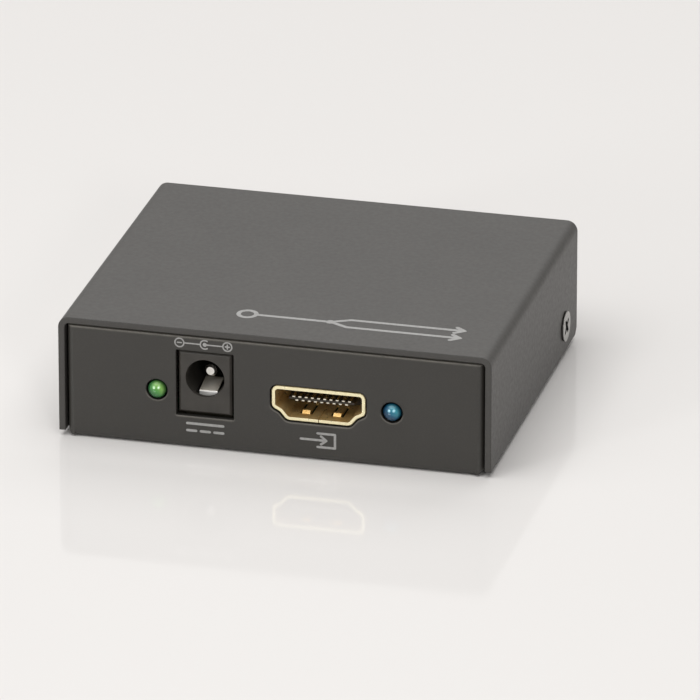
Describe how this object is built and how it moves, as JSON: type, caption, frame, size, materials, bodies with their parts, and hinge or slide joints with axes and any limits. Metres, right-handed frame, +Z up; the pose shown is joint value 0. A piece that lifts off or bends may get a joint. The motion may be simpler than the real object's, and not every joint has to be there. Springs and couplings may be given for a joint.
{
  "type": "video signal splitter",
  "caption": "Small bent-steel box that repeats a digital video signal: input socket, power inlet and lamps in front, output sockets behind.",
  "frame": {"origin": "on the surface that the case stands on, below the middle of the case", "axes": "+X to the right seen from the front, +Y from the front panel to the rear panel, +Z up"},
  "size_m": [0.0706, 0.0598, 0.0202],
  "materials": {
    "cover_paint": "fine satin powder coat",
    "tray_paint": "fine satin powder coat",
    "screw_nickel": "bright nickel plate",
    "steel": "zinc plate",
    "board_laminate": "solder mask over glass laminate",
    "jack_plastic": "moulded, slightly satin",
    "contact_nickel": "bright nickel plate",
    "spring_nickel": "bright nickel plate over phosphor bronze",
    "green_lens": "tinted diffused resin",
    "blue_lens": "tinted diffused resin",
    "lead_tin": "tinned",
    "chip_resin": "moulded resin",
    "can_metal": "drawn can",
    "ferrite": "pressed ferrite",
    "fuse_body": "coated polymer",
    "ceramic": "fired ceramic",
    "shell_gold": "gold plate",
    "socket_plastic": "moulded",
    "contact_gold": "gold plate"
  },
  "bodies": {
    "case": {"top_cover": "cover_paint", "base_tray": "tray_paint", "cover_screws": "screw_nickel", "board_standoffs": "steel", "board_screws": "steel", "circuit_board": "board_laminate", "power_jack_housing": "jack_plastic", "power_jack_pin": "contact_nickel", "power_jack_pin_terminal": "contact_nickel", "power_jack_spring_terminal": "spring_nickel", "power_jack_switch_contact": "contact_nickel", "power_lamp": "green_lens", "power_lamp_leads": "lead_tin", "signal_lamp": "blue_lens", "signal_lamp_leads": "lead_tin", "splitter_chip": "chip_resin", "splitter_chip_legs": "lead_tin", "memory_chip": "chip_resin", "crystal": "can_metal", "voltage_regulators": "chip_resin", "power_coil": "ferrite", "bulk_capacitors": "can_metal", "resettable_fuse": "fuse_body", "surge_protectors": "chip_resin", "small_capacitors": "ceramic", "small_resistors": "chip_resin", "input_socket_shell": "shell_gold", "input_socket_insulator": "socket_plastic", "input_socket_contacts": "contact_gold", "left_output_socket_shell": "shell_gold", "left_output_socket_insulator": "socket_plastic", "left_output_socket_contacts": "contact_gold", "right_output_socket_shell": "shell_gold", "right_output_socket_insulator": "socket_plastic", "right_output_socket_contacts": "contact_gold"},
    "jack_leaf": {"power_jack_spring": "spring_nickel"}
  },
  "joints": [
    {"name": "leaf_flex", "type": "hinge", "parent": "case", "child": "jack_leaf", "pos_m": [-0.01118, -0.01805, 0.00713], "axis": [1, 0, 0], "range_deg": [0, 8], "stiffness_Nm_per_rad": 0.05}
  ]
}
